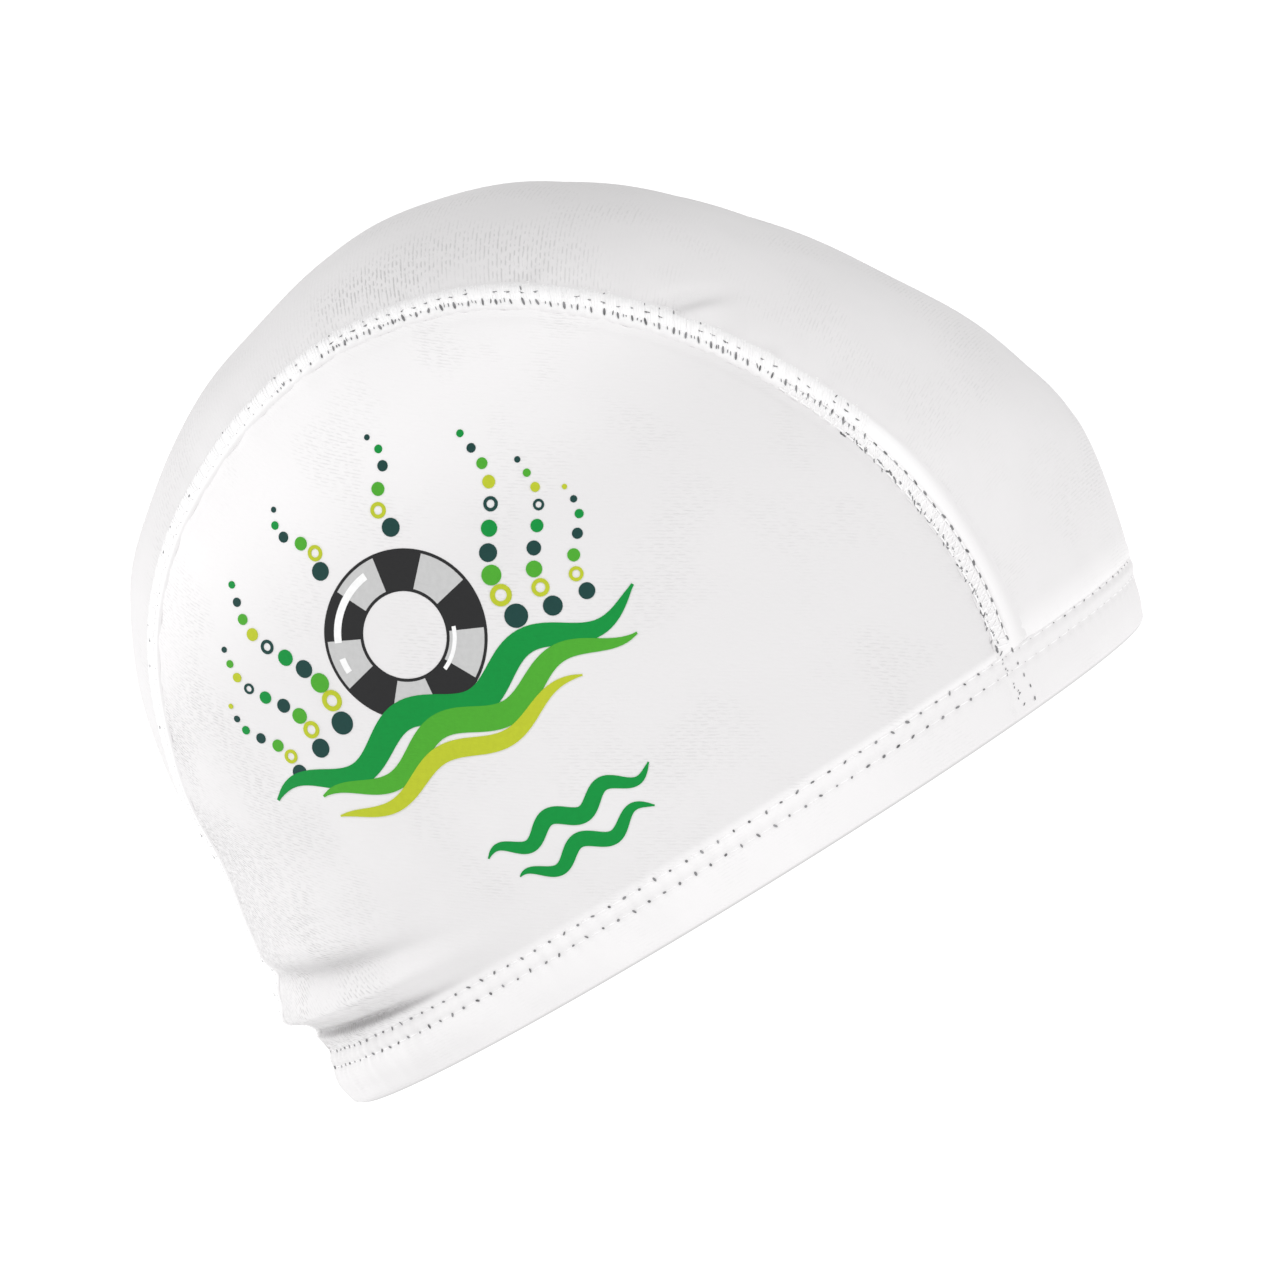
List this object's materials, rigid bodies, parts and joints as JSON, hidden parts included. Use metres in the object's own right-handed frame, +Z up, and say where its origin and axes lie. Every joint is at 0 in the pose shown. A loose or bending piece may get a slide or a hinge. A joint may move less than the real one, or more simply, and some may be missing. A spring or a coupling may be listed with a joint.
{
  "type": "swim cap",
  "caption": "White stretch-knit swim cap sewn from a crown strip and two side panels with arched flat seams and a stitched hem, resting on its rim.",
  "frame": {"origin": "middle of the cap's footprint, on the plane of the rim that it rests on", "axes": "+X towards the forehead, +Y towards the wearer's left, +Z up to the crown"},
  "size_m": [0.2026, 0.153, 0.1498],
  "materials": {
    "side_knit": "matt, fine-ribbed stretch knit",
    "crown_knit": "matt, fine-ribbed stretch knit, a little greyer where it is stretched over the crown",
    "seam_thread": "matt flat seam covered by a thread ladder",
    "hem_knit": "matt doubled knit, stitched twice"
  },
  "bodies": {
    "root": {"centre_panel": "crown_knit", "side_panel_right": "side_knit", "side_panel_left": "side_knit", "seam_right": "seam_thread", "seam_left": "seam_thread", "hem": "hem_knit"}
  },
  "joints": []
}
